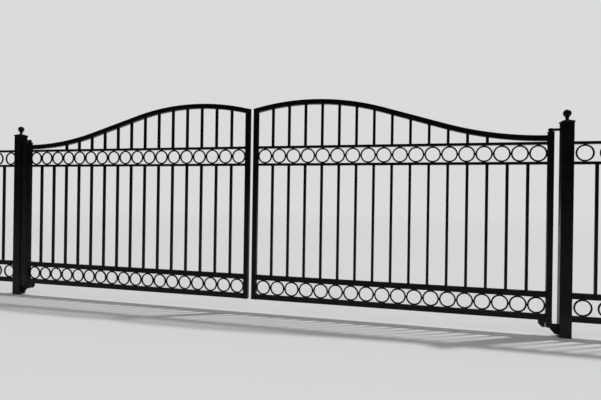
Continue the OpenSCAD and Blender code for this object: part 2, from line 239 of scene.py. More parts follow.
class NodeSheet:
    """A node tree with short ways to add nodes and join them."""

    def __init__(self, tree: bpy.types.NodeTree) -> None:
        """Keeps the tree that nodes are added to."""
        self.tree = tree

    def add(self, kind: str, inputs: dict | None = None, **settings: object) -> bpy.types.Node:
        """Adds a node.

        Args:
            kind: The node's type without its ShaderNode prefix.
            inputs: A socket to join or a value to set, by the input's name or number.
            settings: The node's own settings.

        Returns:
            The node.
        """
        node = self.tree.nodes.new(f"ShaderNode{kind}")
        for name, value in settings.items():
            setattr(node, name, value)
        for key, value in (inputs or {}).items():
            if isinstance(value, Socket):
                self.join(value, node.inputs[key])
            else:
                node.inputs[key].default_value = value
        return node

    def join(self, value: Socket, target: Socket) -> None:
        """Joins an output to an input."""
        self.tree.links.new(value, target)

    def math(self, operation: str, *values: object, clamp: bool = False) -> Socket:
        """Adds a Math node and returns its result."""
        return self.add("Math", dict(enumerate(values)), operation=operation, use_clamp=clamp).outputs[0]

    def rest(self, value: Socket) -> Socket:
        """Adds what a value lacks to 1 and returns it."""
        return self.math("SUBTRACT", 1.0, value)

    def vector(self, operation: str, *values: object) -> bpy.types.Node:
        """Adds a Vector Math node."""
        return self.add("VectorMath", dict(enumerate(values)), operation=operation)

    def ease(self, value: Socket, low: object, high: object) -> Socket:
        """Adds a smooth step from 0 at low to 1 at high and returns its result."""
        inputs = {"Value": value, "From Min": low, "From Max": high}
        return self.add("MapRange", inputs, interpolation_type="SMOOTHSTEP").outputs[0]

    def blend(self, mask: Socket, under: object, over: object) -> Socket:
        """Adds a colour mix from under to over by a mask and returns its result."""
        return self.add("Mix", {0: mask, 6: under, 7: over}, data_type="RGBA").outputs[2]

    def mix(self, mask: object, under: object, over: object) -> Socket:
        """Adds a number mix from under to over by a mask and returns its result."""
        return self.add("Mix", {0: mask, 2: under, 3: over}, data_type="FLOAT").outputs[0]

    def noise(self, place: Socket, scale: object, detail: float, **others: float) -> Socket:
        """Adds a noise with its scale, its octaves and other inputs, and returns its value."""
        inputs = {"Vector": place, "Scale": scale, "Detail": detail, **others}
        return self.add("TexNoise", inputs).outputs[0]

    def on_part(self) -> Socket:
        """Adds the place on the part, which stays with a leaf as it swings."""
        return self.add("TexCoord").outputs["Object"]

    def upward(self, direction: Socket) -> Socket:
        """Adds a direction's upward share and returns it."""
        return self.add("SeparateXYZ", {0: direction}).outputs["Z"]

    def bump(self, distance: float, strength: float, height: Socket, **others: Socket) -> Socket:
        """Adds a bump and returns its normal."""
        inputs = {"Distance": distance, "Strength": strength, "Height": height, **others}
        return self.add("Bump", inputs).outputs["Normal"]

    def effect(self, effect: Effect, **values: float) -> dict[str, Socket]:
        """Adds a shared effect.

        Args:
            effect: Which effect to add.
            values: Its inputs, by name with underscores for spaces.

        Returns:
            Its outputs by name.
        """
        node = self.add("Group")
        node.node_tree = effect_group(effect)
        for name, value in values.items():
            node.inputs[name.replace("_", " ").title()].default_value = value
        return dict(node.outputs.items())


class EffectSheet(NodeSheet):
    """The node group of one shared effect, which the method of the same name fills."""

    def __init__(self, effect: Effect) -> None:
        """Starts the group with its sockets and fills it.

        Args:
            effect: The effect that the group gives.
        """
        name, inputs, outputs = effect.value
        super().__init__(bpy.data.node_groups.new(name, "ShaderNodeTree"))
        for sockets, way in ((inputs, "INPUT"), (outputs, "OUTPUT")):
            for socket in sockets:
                self.tree.interface.new_socket(name=socket, in_out=way, socket_type="NodeSocketFloat")
        self.given = self.tree.nodes.new("NodeGroupInput").outputs
        self.out = self.tree.nodes.new("NodeGroupOutput").inputs
        getattr(self, name)()

    def paint_skin(self) -> None:
        """Builds the orange peel of sprayed enamel over slightly wavy steel."""
        place, given = self.on_part(), self.given
        peel = self.math("MULTIPLY", self.noise(place, given["Peel Scale"], 2.0), given["Peel Depth"])
        wave = self.math("MULTIPLY", self.noise(place, given["Wave Scale"], 1.0), given["Wave Depth"])
        self.join(self.math("ADD", peel, wave), self.out["Height"])
        mottle = self.noise(place, 11.0, 5.0, Roughness=0.6)
        self.join(self.ease(mottle, 0.32, 0.68), self.out["Mottle"])

    def edge_wear(self) -> None:
        """Builds the thin, rubbed paint on outward edges, broken up by noise."""
        rounded = self.add("Bevel", {"Radius": self.given["Radius"]}, samples=6).outputs[0]
        flat = self.add("NewGeometry").outputs["Normal"]
        agree = self.vector("DOT_PRODUCT", rounded, flat).outputs["Value"]
        noise = self.noise(self.on_part(), self.given["Breakup Scale"], 6.0, Roughness=0.65)
        limit = self.math("MULTIPLY_ADD", self.given["Reach"], -0.34, 0.78)
        broken = self.ease(noise, limit, self.math("ADD", limit, 0.07))
        edge = self.ease(self.rest(agree), 0.01, 0.09)
        self.join(self.math("MULTIPLY", edge, broken), self.out["Mask"])

    def settled_dust(self) -> None:
        """Builds the dust that lies on what faces up, with a faint film elsewhere."""
        level = self.ease(self.upward(self.add("NewGeometry").outputs["Normal"]), 0.35, 0.95)
        noise = self.noise(self.on_part(), self.given["Patch Scale"], 6.0, Roughness=0.6)
        patch = self.ease(noise, 0.3, 0.66)
        lying = self.math("MULTIPLY", level, self.mix(patch, 0.45, 1.0))
        film = self.math("MULTIPLY", patch, self.given["Film"])
        heavy = self.math("MULTIPLY", lying, self.given["Amount"])
        self.join(self.math("ADD", heavy, film, clamp=True), self.out["Mask"])

    def ground_splash(self) -> None:
        """Builds the specks and haze that rain throws up from the paving."""
        place = self.on_part()
        near = self.rest(self.ease(self.upward(place), 0.0, self.given["Reach"]))
        cells = {"Vector": place, "Scale": self.given["Speck Scale"], "Randomness": 1.0}
        speck = self.rest(self.ease(self.add("TexVoronoi", cells).outputs["Distance"], 0.1, 0.3))
        haze = self.math("MULTIPLY", self.noise(place, 26.0, 5.0), 0.55)
        mud = self.math("MULTIPLY_ADD", speck, 0.7, haze)
        falling = self.math("MULTIPLY", self.math("POWER", near, 1.6), mud)
        self.join(self.math("MULTIPLY", falling, self.given["Amount"], clamp=True), self.out["Mask"])

    def rain_streaks(self) -> None:
        """Builds the faint marks of water that ran down upright faces."""
        stretched = self.add("Mapping", {"Vector": self.on_part(), "Scale": (1.0, 1.0, 0.035)}).outputs[0]
        noise = self.noise(stretched, self.given["Streak Scale"], 4.0, Roughness=0.55)
        up = self.upward(self.add("NewGeometry").outputs["Normal"])
        upright = self.rest(self.ease(self.math("ABSOLUTE", up), 0.1, 0.6))
        streak = self.math("MULTIPLY", self.ease(noise, 0.5, 0.72), upright)
        self.join(self.math("MULTIPLY", streak, self.given["Amount"]), self.out["Mask"])

    def rust_bloom(self) -> None:
        """Builds small spots where rust lifts the paint, with their height and their mottled tone."""
        place = self.on_part()
        patch = self.noise(place, self.given["Spot Scale"], 7.0, Roughness=0.62, Distortion=0.4)
        limit = self.math("MULTIPLY_ADD", self.given["Amount"], -0.42, 0.82)
        mask = self.ease(patch, limit, self.math("ADD", limit, 0.05))
        grain = self.noise(place, 900.0, 3.0)
        self.join(mask, self.out["Mask"])
        self.join(self.math("MULTIPLY", mask, grain), self.out["Height"])
        self.join(grain, self.out["Tone"])


@cache
def effect_group(effect: Effect) -> bpy.types.NodeTree:
    """Builds a shared effect once and returns its node group."""
    return EffectSheet(effect).tree


@dataclass(frozen=True)
class Finish:
    """What a piece is painted with. It also holds the name of a slot in the model, which nothing here
    reads.
    """

    name: str
    slot: str

    def material(self) -> bpy.types.Material:
        """Builds the finish, once.

        Returns:
            Its material.
        """
        found = bpy.data.materials.get(self.name)
        if found is None:
            found = bpy.data.materials.new(self.name)
            found.use_nodes = True
            self.paint(NodeSheet(found.node_tree), found.node_tree.nodes["Principled BSDF"])
        return found

    def paint(self, sheet: NodeSheet, surface: bpy.types.Node) -> None:
        """Joins the finish's effects to the inputs of its Principled BSDF."""
        raise NotImplementedError


@dataclass(frozen=True)
class EnamelFinish(Finish):
    """Glossy black enamel on steel, with the wear and dirt of its place on the gate."""

    colour: Colour = (0.0020, 0.0021, 0.0024, 1.0)
    thin_colour: Colour = (0.022, 0.023, 0.025, 1.0)
    dust_colour: Colour = (0.170, 0.160, 0.144, 1.0)
    rust_colour: Colour = (0.070, 0.025, 0.010, 1.0)
    dark_rust_colour: Colour = (0.022, 0.009, 0.004, 1.0)
    gloss: float = 0.20
    dull: float = 0.34
    matt: float = 0.85
    specular: float = 0.12
    peel_depth: float = 0.000055
    wave_depth: float = 0.0012
    rust_height: float = 0.0006
    wear: float = 0.35
    dust: float = 0.22
    film: float = 0.008
    splash: float = 0.24
    rust: float = 0.18

    def paint(self, sheet: NodeSheet, surface: bpy.types.Node) -> None:
        """Lays wear, dirt and rust over the paint, with their roughness and relief.

        Args:
            sheet: The material's node tree.
            surface: Its Principled BSDF.
        """
        surface.inputs["Specular IOR Level"].default_value = self.specular
        skin = sheet.effect(
            Effect.SKIN, peel_scale=420.0, peel_depth=self.peel_depth, wave_scale=7.0,
            wave_depth=self.wave_depth,
        )
        wear = sheet.effect(Effect.EDGE_WEAR, radius=0.0025, reach=self.wear, breakup_scale=95.0)["Mask"]
        dust = sheet.effect(Effect.DUST, amount=self.dust, film=self.film, patch_scale=34.0)["Mask"]
        splash = sheet.effect(Effect.SPLASH, reach=0.34, amount=self.splash, speck_scale=130.0)["Mask"]
        streaks = sheet.effect(Effect.STREAKS, amount=0.55, streak_scale=75.0)["Mask"]
        rust = sheet.effect(Effect.RUST, amount=self.rust, spot_scale=48.0)

        worn = sheet.blend(wear, self.colour, self.thin_colour)
        dirt = sheet.math("MAXIMUM", dust, splash)
        dusty = sheet.blend(dirt, worn, self.dust_colour)
        tone = sheet.blend(rust["Tone"], self.rust_colour, self.dark_rust_colour)
        sheet.join(sheet.blend(rust["Mask"], dusty, tone), surface.inputs["Base Color"])

        base = sheet.mix(skin["Mottle"], self.gloss, self.dull)
        streaked = sheet.math("MULTIPLY_ADD", streaks, 0.16, base)
        rubbed = sheet.math("MULTIPLY_ADD", wear, 0.14, streaked)
        covered = sheet.math("MAXIMUM", dirt, rust["Mask"])
        sheet.join(sheet.mix(covered, rubbed, self.matt), surface.inputs["Roughness"])

        relief = sheet.bump(1.0, 0.6, skin["Height"])
        spots = sheet.bump(self.rust_height, 0.5, rust["Height"], Normal=relief)
        sheet.join(spots, surface.inputs["Normal"])


@dataclass(frozen=True)
class WornSteelFinish(Finish):
    """Bare steel that turns or rubs, dark with old grease."""

    steel: Colour = (0.30, 0.29, 0.28, 1.0)
    grease: Colour = (0.018, 0.015, 0.012, 1.0)
    rust_colour: Colour = (0.070, 0.027, 0.012, 1.0)
    rust: float = 0.45
    gloss: float = 0.33
    matt: float = 0.8

    def paint(self, sheet: NodeSheet, surface: bpy.types.Node) -> None:
        """Smears grease and rust over the steel.

        Args:
            sheet: The material's node tree.
            surface: Its Principled BSDF.
        """
        skin = sheet.effect(
            Effect.SKIN, peel_scale=700.0, peel_depth=0.00012, wave_scale=60.0, wave_depth=0.0002
        )
        rust = sheet.effect(Effect.RUST, amount=self.rust, spot_scale=160.0)["Mask"]
        smeared = sheet.blend(skin["Mottle"], self.grease, self.steel)
        sheet.join(sheet.blend(rust, smeared, self.rust_colour), surface.inputs["Base Color"])
        bare = sheet.math("SUBTRACT", skin["Mottle"], rust, clamp=True)
        sheet.join(bare, surface.inputs["Metallic"])
        sheet.join(sheet.mix(rust, self.gloss, self.matt), surface.inputs["Roughness"])
        sheet.join(sheet.bump(1.0, 0.7, skin["Height"]), surface.inputs["Normal"])


FRAME_ENAMEL = EnamelFinish("frame_enamel", "black_paint")
RING_ENAMEL = EnamelFinish("ring_enamel", "black_paint", gloss=0.16, wave_depth=0.00036, dust=0.16)
POST_ENAMEL = EnamelFinish("post_enamel", "black_paint", splash=0.34, wave_depth=0.00168)
WELD_ENAMEL = EnamelFinish(
    "weld_enamel", "black_paint", gloss=0.26, dull=0.42, wave_depth=0.00024, rust=0.30
)
HINGE_ENAMEL = EnamelFinish("hinge_enamel", "hinge_paint", gloss=0.30, dull=0.46, wear=0.75, rust=0.34)
SHOE_ENAMEL = EnamelFinish(
    "shoe_enamel", "shoe_paint", gloss=0.32, dull=0.5, wear=0.85, splash=0.5, rust=0.36
)
PIN_STEEL = WornSteelFinish("pin_steel", "hinge_paint")


def put_in_scene(name: str, data: bpy.types.ID) -> bpy.types.Object:
    """Adds an object to the scene.

    Args:
        name: The object's name.
        data: Its mesh, lamp or camera.

    Returns:
        The object.
    """
    placed = bpy.data.objects.new(name, data)
    bpy.context.scene.collection.objects.link(placed)
    return placed


@dataclass
class Shell:
    """Collects closed lofted shells in a side's own u, y and z and makes one piece of them."""

    side: Side
    points: list[np.ndarray] = field(default_factory=list)
    faces: list[tuple[int, ...]] = field(default_factory=list)
    count: int = 0

    def loft(self, sections: list[np.ndarray] | np.ndarray, joined: bool = False) -> None:
        """Adds a shell through cross-sections.

        Args:
            sections: Each section's points in u, y and z.
            joined: True where the last section meets the first, as on a ring.
        """
        sections = np.asarray(sections)
        rows, width, _ = sections.shape
        start = self.count
        self.points.append(sections.reshape(-1, 3))
        self.count += rows * width
        for row in range(rows if joined else rows - 1):
            here = start + row * width
            there = start + (row + 1) % rows * width
            for column in range(width):
                after = (column + 1) % width
                self.faces.append((here + column, here + after, there + after, there + column))
        if not joined:
            last = start + (rows - 1) * width
            self.faces.append(tuple(range(start + width - 1, start - 1, -1)))
            self.faces.append(tuple(range(last, last + width)))

    def bar(self, box: Box, axis: Axis, radius: float) -> None:
        """Adds a straight bar that fills a box, with its four long edges rounded."""
        outline = box.outline(axis, radius)
        self.loft([section_at(axis, end[axis.value], outline) for end in (box.low, box.high)])

    def plate(self, box: Box, radius: float, steps: int = 3) -> None:
        """Adds a level plate that fills a box, with all its edges rounded.

        Args:
            box: Where the plate lies.
            radius: Radius of its edges.
            steps: Straight pieces over each edge.
        """
        angles = np.radians(np.linspace(0, 90, steps + 1))
        inward = radius * (1 - np.sin(angles))
        outlines = [box.outline(Axis.UP, radius, inward=distance) for distance in inward]
        rims = list(zip(radius * (1 - np.cos(angles)), outlines))
        self.loft(
            [section_at(Axis.UP, box.low[2] + depth, outline) for depth, outline in rims]
            + [section_at(Axis.UP, box.high[2] - depth, outline) for depth, outline in reversed(rims)]
        )

    def slab(self, outline: np.ndarray, axis: Axis, ends: tuple[float, float], edge: float) -> None:
        """Adds a flat piece of any convex outline, with its rims chamfered.

        Args:
            outline: Points in the two directions across the axis, one row each.
            axis: The direction of its thickness.
            ends: Where it starts and ends along the axis.
            edge: Width of the chamfer.
        """
        low, high = ends
        rims = ((low, edge), (low + edge, 0.0), (high - edge, 0.0), (high, edge))
        self.loft([section_at(axis, place, inset(outline, shrink)) for place, shrink in rims])

    def turn(self, foot: np.ndarray, profile: list[tuple[float, float]], steps: int) -> None:
        """Adds a ring turned from a closed profile.

        Args:
            foot: Point on the upright axis that heights count from.
            profile: Radius and height of each of the profile's points.
            steps: Straight pieces round the axis.
        """
        radii, heights = np.array(profile).T
        around = circle(1.0, steps)
        self.loft(np.stack([
            foot[0] + around[:, :1] * radii,
            foot[1] + around[:, 1:] * radii,
            np.broadcast_to(foot[2] + heights, (steps, len(radii))),
        ], axis=2), joined=True)

    def stack(self, foot: np.ndarray, outlines: list[tuple[float, np.ndarray]]) -> None:
        """Adds a shell of flat outlines laid one above the other.

        Args:
            foot: Point on the shell's upright centre line that heights count from.
            outlines: Each outline's height with its points.
        """
        self.loft([
            section_at(Axis.UP, foot[2] + height, foot[:2] + outline) for height, outline in outlines
        ])

    def dress(self, name: str, finish: Finish, body: str, *nodes: str) -> None:
        """Makes the shells into a piece that rides on a body and stands for nodes of the model.

        Args:
            name: The piece's name without its side.
            finish: What it is painted with.
            body: The body that it rides on.
            nodes: Names, without the side, of the nodes that it stands for.
        """
        word = self.side.word
        points = np.concatenate(self.points)
        points[:, 0] = GATE_MIDDLE + self.side.value * points[:, 0]
        full_name = f"{word}_{name}"
        mesh = bpy.data.meshes.new(full_name)
        mesh.from_pydata(points.tolist(), [], self.faces)
        outward = bmesh.new()
        outward.from_mesh(mesh)
        bmesh.ops.recalc_face_normals(outward, faces=outward.faces)
        outward.to_mesh(mesh)
        outward.free()
        mesh.polygons.foreach_set("use_smooth", [True] * len(mesh.polygons))
        mesh.set_sharp_from_angle(angle=SHARP_ANGLE)
        mesh.materials.append(finish.material())
        piece = put_in_scene(full_name, mesh)
        piece.modifiers.new("flat_faces", "WEIGHTED_NORMAL").keep_sharp = True
        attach(piece, body)
        if nodes:
            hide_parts(*(f"{word}_{node}" for node in nodes))
        log.info("%s: %d faces on %s", piece.name, len(mesh.polygons), body)


@dataclass(frozen=True)
class Bead:
    """A weld bead with the ripples that the arc leaves."""

    radius: float
    ripple: float = 0.16
    ripple_length: float = 0.004
    unevenness: float = 0.06
    end_taper: float = 0.45
    sides: int = 6

    def lay(self, shell: Shell, path: np.ndarray, joined: bool, seed: int) -> None:
        """Lays the bead along a path.

        Args:
            shell: Collects the bead.
            path: Corner points of the path in u, y and z.
            joined: True where the path closes on itself.
            seed: Seed of the bead's uneven thickness.
        """
        corners = np.vstack([path, path[:1]]) if joined else path
        legs = np.linalg.norm(np.diff(corners, axis=0), axis=1)
        reached = np.concatenate([[0.0], np.cumsum(legs)])
        count = max(6, 2 * round(reached[-1] / self.ripple_length))
        places = np.linspace(0, reached[-1], count + 1)
        if joined:
            places = places[:-1]
        line = np.stack([np.interp(places, reached, corners[:, i]) for i in range(3)], axis=1)
        ahead, behind = np.roll(line, -1, axis=0), np.roll(line, 1, axis=0)
        if not joined:
            ahead[-1] = 2 * line[-1] - line[-2]
            behind[0] = 2 * line[0] - line[1]
        tangent = ahead - behind
        tangent /= np.linalg.norm(tangent, axis=1)[:, None]
        normal = np.eye(3)[np.ptp(corners, axis=0).argmin()]
        side = np.cross(tangent, normal)
        side /= np.linalg.norm(side, axis=1)[:, None]
        noise = np.random.default_rng(seed).normal(0, self.unevenness, len(line))
        thickness = self.radius * (1 + noise + self.ripple * np.cos(np.arange(len(line)) * math.pi))
        if not joined:
            thickness[[0, -1]] *= self.end_taper
        ring = circle(1.0, self.sides)[None]
        rims = ring[..., :1] * side[:, None, :] + ring[..., 1:] * normal
        shell.loft(line[:, None, :] + thickness[:, None, None] * rims, joined)

    def line(self, shell: Shell, start: tuple[float, ...], end: tuple[float, ...], seed: int) -> None:
        """Lays a straight bead from start to end, in u, y and z."""
        self.lay(shell, np.array([start, end]), False, seed)

    def around(self, shell: Shell, box: Box, axis: Axis, place: float, seed: int) -> None:
        """Lays a bead round a bar, at a place along the axis in which the bar runs."""
        self.lay(shell, section_at(axis, place, box.outline(axis, self.radius, 1)), True, seed)


@dataclass(frozen=True)
class RingRow:
    """A row of rings of square bar, which stand between two rails and touch them above and below."""

    outer: float = 0.1143
    bar: float = 0.011
    edge: float = 0.0030
    steps: int = 72
    bead: Bead = Bead(0.0018)
    weld_length: float = 0.014
    weld_lift: float = 0.0004
    weld_gap: float = 0.0002
    seeds_per_ring: int = 8
    link_seed: int = 5

    def band(
        self, rings: Shell, welds: Shell, box: Box, places: np.ndarray, linked: bool, seed: int
    ) -> None:
        """Adds a row of rings with beads to the rails and, in a linked row, to one another.

        Args:
            rings: Collects the rings.
            welds: Collects the beads.
            box: Box of a leaf's row at the same height.
            places: Where the rings' centres lie along the gate.
            linked: True where neighbouring rings touch.
            seed: Seed of the beads' uneven thickness.
        """
        z, depth = box.middle[2], box.size[1]
        section = rounded_rectangle(self.bar, depth, self.edge)
        around = circle(1.0, self.steps)
        radii = (self.outer - self.bar) / 2 + section[:, 0]
        through = np.broadcast_to(section[:, 1], (self.steps, len(section)))
        half, reach = self.weld_length / 2, self.outer / 2 + self.weld_gap
        for index, u in enumerate(places):
            sections = [u + around[:, :1] * radii, through, z + around[:, 1:] * radii]
            rings.loft(np.stack(sections, axis=2), joined=True)
            for face in (-1, 1):
                y = face * (depth / 2 + self.weld_lift)
                number = seed + self.seeds_per_ring * index + face
                for up in (-1, 1):
                    at = z + up * reach
                    self.bead.line(welds, (u - half, y, at), (u + half, y, at), number + 2 * up)
                if linked and index < len(places) - 1:
                    at = (u + places[index + 1]) / 2
                    self.bead.line(welds, (at, y, z - half), (at, y, z + half), number + self.link_seed)


@dataclass(frozen=True)
class BarWork:
    """Straight bars and tubes with their rounded edges and end welds."""

    tube_corner: float = 0.0045
    thin_tube_corner: float = 0.003
    picket: float = 0.019
    bar_edge: float = 0.0014
    tube_bead: Bead = Bead(0.0030)
    bar_bead: Bead = Bead(0.0023)

    def row(self, shell: Shell, box: Box, count: int) -> list[Box]:
        """Adds evenly spaced pickets.

        Args:
            shell: Collects the pickets.
            box: The box of the whole row.
            count: Number of pickets.

        Returns:
            Each picket's box.
        """
        starts = np.linspace(box.low[0], box.high[0] - self.picket, count)
        boxes = [box.between(start, start + self.picket) for start in starts]
        for bar in boxes:
            shell.bar(bar, Axis.UP, self.bar_edge)
        return boxes

    def end_welds(self, shell: Shell, box: Box, axis: Axis, bead: Bead, seed: int) -> None:
        """Adds a bead round each end of a bar, which take the seed and the next one."""
        for end, corner in enumerate((box.low, box.high)):
            bead.around(shell, box, axis, corner[axis.value], seed + end)

    def bar_welds(self, shell: Shell, boxes: list[Box], seed: int) -> None:
        """Adds a bead round the foot and the head of each upright bar."""
        for index, box in enumerate(boxes):
            self.end_welds(shell, box, Axis.UP, self.bar_bead, seed + 2 * index)

    def rail_welds(self, shell: Shell, boxes: list[Box], seed: int) -> None:
        """Adds a bead round each end of each rail."""
        for index, box in enumerate(boxes):
            self.end_welds(shell, box, Axis.ALONG, self.tube_bead, seed + 2 * index)


BARS = BarWork()
RINGS = RingRow()
RAIL_CORNERS = {
    "bottom_rail": BARS.tube_corner,
    "middle_rail": BARS.tube_corner,
    "lower_ring_rail": BARS.thin_tube_corner,
    "upper_ring_rail": BARS.thin_tube_corner,
}


@dataclass(frozen=True)
class Post:
    """A square tube post and the finial that closes it."""

    side: Side
    node: str = "post"
    finial_node: str = "finial"
    corner: float = 0.006
    cap_corner: float = 0.003
    plate_height: float = 0.006
    slope_height: float = 0.009
    plate_edge: float = 0.0014
    slope_top: float = 0.040
    neck: float = 0.020
    neck_height: float = 0.022
    neck_hollow: float = 0.0018
    collar: float = 0.030
    collar_height: float = 0.005
    ball: float = 0.052
    ball_tip: float = 0.0004
    weld_drop: float = 0.0008
    steps: int = 56

    def build(self) -> None:
        """Builds the post, its finial and the weld under the cap."""
        post, finial = self.side.box(self.node), self.side.box(self.finial_node)
        tube, turning, weld = (Shell(self.side) for _ in range(3))
        tube.bar(post, Axis.UP, self.corner)
        tube.dress(f"{self.node}_tube", POST_ENAMEL, FIXED_BODY, self.node)
        foot = np.array([*finial.middle[:2], finial.low[2]])
        turning.stack(foot, [
            (height, rounded_rectangle(size, size, self.cap_corner))
            for height, size in self.cap(finial.size[0])
        ])
        turning.stack(foot, [(height, circle(radius, self.steps)) for height, radius in self.turned()])
        turning.dress(f"{self.finial_node}_turning", POST_ENAMEL, FIXED_BODY, self.finial_node)
        BARS.tube_bead.around(weld, post, Axis.UP, post.high[2] - self.weld_drop, Seed.POST_CAP)
        weld.dress(f"{self.node}_cap_weld", WELD_ENAMEL, FIXED_BODY)

    def cap(self, width: float) -> list[tuple[float, float]]:
        """Heights and widths of the square cap plate with its sloping top."""
        edge, top = self.plate_edge, self.plate_height
        return [
            (0.0, width - 2 * edge),
            (0.4 * edge, width - 0.5 * edge),
            (edge, width),
            (top - edge, width),
            (top - 0.3 * edge, width - 0.6 * edge),
            (top, width - 2 * edge),
            (top + self.slope_height - edge / 2, self.slope_top + 2 * edge),
            (top + self.slope_height, self.slope_top),
        ]

    def moulding(self, middle: float) -> list[tuple[float, float]]:
        """Heights and radii of a rounded collar, from its middle's height."""
        half = self.collar_height / 2
        return [
            (middle + half * math.sin(angle), self.collar / 2 - half * (1 - math.cos(angle)))
            for angle in np.radians(np.linspace(-80, 80, 9))
        ]

    def turned(self) -> list[tuple[float, float]]:
        """Works out the neck between its two collars, and the ball.

        Returns:
            Heights and radii, from under the lower collar up.
        """
        half, radius = self.collar_height / 2, self.ball / 2
        base = self.plate_height + self.slope_height
        low, high = base + self.collar_height, base + self.neck_height - self.collar_height
        middle = base + self.neck_height + radius - half
        neck = [
            (low + (high - low) * share, self.neck / 2 + self.neck_hollow * (1 - math.sin(math.pi * share)))
            for share in np.linspace(0, 1, 9)
        ]
        ball = [
            (middle + radius * math.sin(angle), radius * math.cos(angle))
            for angle in np.radians(np.linspace(-64, 86, 26))
        ]
        return [
            (base - half, self.collar / 2),
            *self.moulding(base + half),
            *neck,
            *self.moulding(base + self.neck_height - half),
            *ball,
            (middle + radius, self.ball_tip),
        ]


@dataclass(frozen=True)
class CornerShoe:
    """The channel under a leaf's hinge corner, which hangs deeper beside the lower arm than over it."""

    side: Side
    wall: float = 0.004
    over_arm: float = 0.018
    beside_arm: float = 0.006
    chamfer: float = 0.018
    corner: float = 0.004
    inner_corner: float = 0.003
    lip: float = 0.001
    notch: float = 0.002

    def section(self, box: Box, low: float) -> np.ndarray:
        """Draws the channel's outline across the leaf.

        Args:
            box: The channel's box.
            low: Height at which its cheeks end.

        Returns:
            One row for each point, through the leaf and up.
        """
        half, top, corner = box.size[1] / 2, box.high[2], self.corner
        inside, under = half - self.wall, top - self.wall
        right = [
            (half - corner + corner * math.cos(angle), top - corner + corner * math.sin(angle))
            for angle in np.radians(np.linspace(90, 0, 5))
        ]
        right += [
            (half, low + self.lip),
            (half - self.lip, low),
            (inside, low),
            (inside, under - self.inner_corner),
            (inside - self.inner_corner, under),
        ]
        return np.array(right + [(-y, z) for y, z in reversed(right)])

    def build(self) -> None:
        """Builds the channel."""
        box = self.side.box("corner_shoe")
        step = self.side.box("lower_hinge_post_half").low[0] - self.beside_arm
        deep, shallow = box.low[2], box.high[2] - self.over_arm
        lows = (
            (box.low[0], deep + self.chamfer),
            (box.low[0] + self.chamfer, deep),
            (step - self.notch, deep),
            (step, deep + self.notch),
            (step, shallow),
            (box.high[0], shallow),
        )
        shell = Shell(self.side)
        shell.loft([section_at(Axis.ALONG, u, self.section(box, low)) for u, low in lows])
        shell.dress("corner_shoe_channel", SHOE_ENAMEL, self.side.leaf, "corner_shoe")


